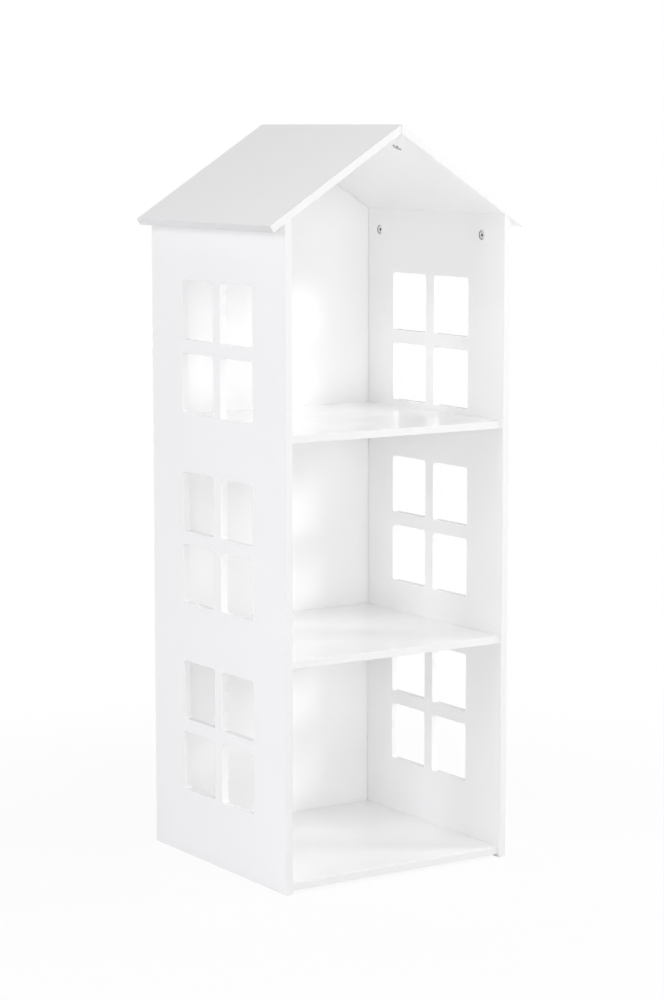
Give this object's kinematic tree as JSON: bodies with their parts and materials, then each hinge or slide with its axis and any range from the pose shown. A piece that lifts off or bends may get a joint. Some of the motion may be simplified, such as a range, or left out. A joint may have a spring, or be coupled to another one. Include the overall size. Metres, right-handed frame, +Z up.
{
  "type": "house shaped bookcase",
  "caption": "Tall narrow open bookcase shaped like a house, with cut-out windows in its sides, fixed shelves and a pitched roof, in white lacquered board.",
  "frame": {"origin": "on the floor, in the middle of the bookcase's overall width and depth", "axes": "+X to the right seen from the open front, +Y from the front to the back, +Z up"},
  "size_m": [0.484, 0.411, 1.2],
  "materials": {
    "white_lacquer": "semi-gloss white lacquer on fibreboard",
    "zinc": "die-cast zinc, bright, with fine turning marks",
    "steel": "zinc-plated steel",
    "beech": "plain fluted beech dowel"
  },
  "bodies": {
    "root": {"left_side_panel": "white_lacquer", "right_side_panel": "white_lacquer", "left_roof_board": "white_lacquer", "right_roof_board": "white_lacquer", "back_panel": "white_lacquer", "upper_shelf": "white_lacquer", "middle_shelf": "white_lacquer", "bottom_shelf": "white_lacquer", "upper_shelf_cams": "zinc", "middle_shelf_cams": "zinc", "bottom_shelf_cams": "zinc", "left_eave_cams": "zinc", "right_eave_cams": "zinc", "left_ridge_cams": "zinc", "right_ridge_cams": "zinc", "upper_shelf_bolts": "steel", "middle_shelf_bolts": "steel", "bottom_shelf_bolts": "steel", "left_eave_studs": "steel", "right_eave_studs": "steel", "left_eave_bolts": "steel", "right_eave_bolts": "steel", "left_eave_hinge_pins": "steel", "right_eave_hinge_pins": "steel", "left_ridge_bolts": "steel", "right_ridge_bolts": "steel", "ridge_hinge_pins": "steel", "back_panel_screws": "steel", "upper_shelf_dowels": "beech", "middle_shelf_dowels": "beech", "bottom_shelf_dowels": "beech"}
  },
  "joints": []
}
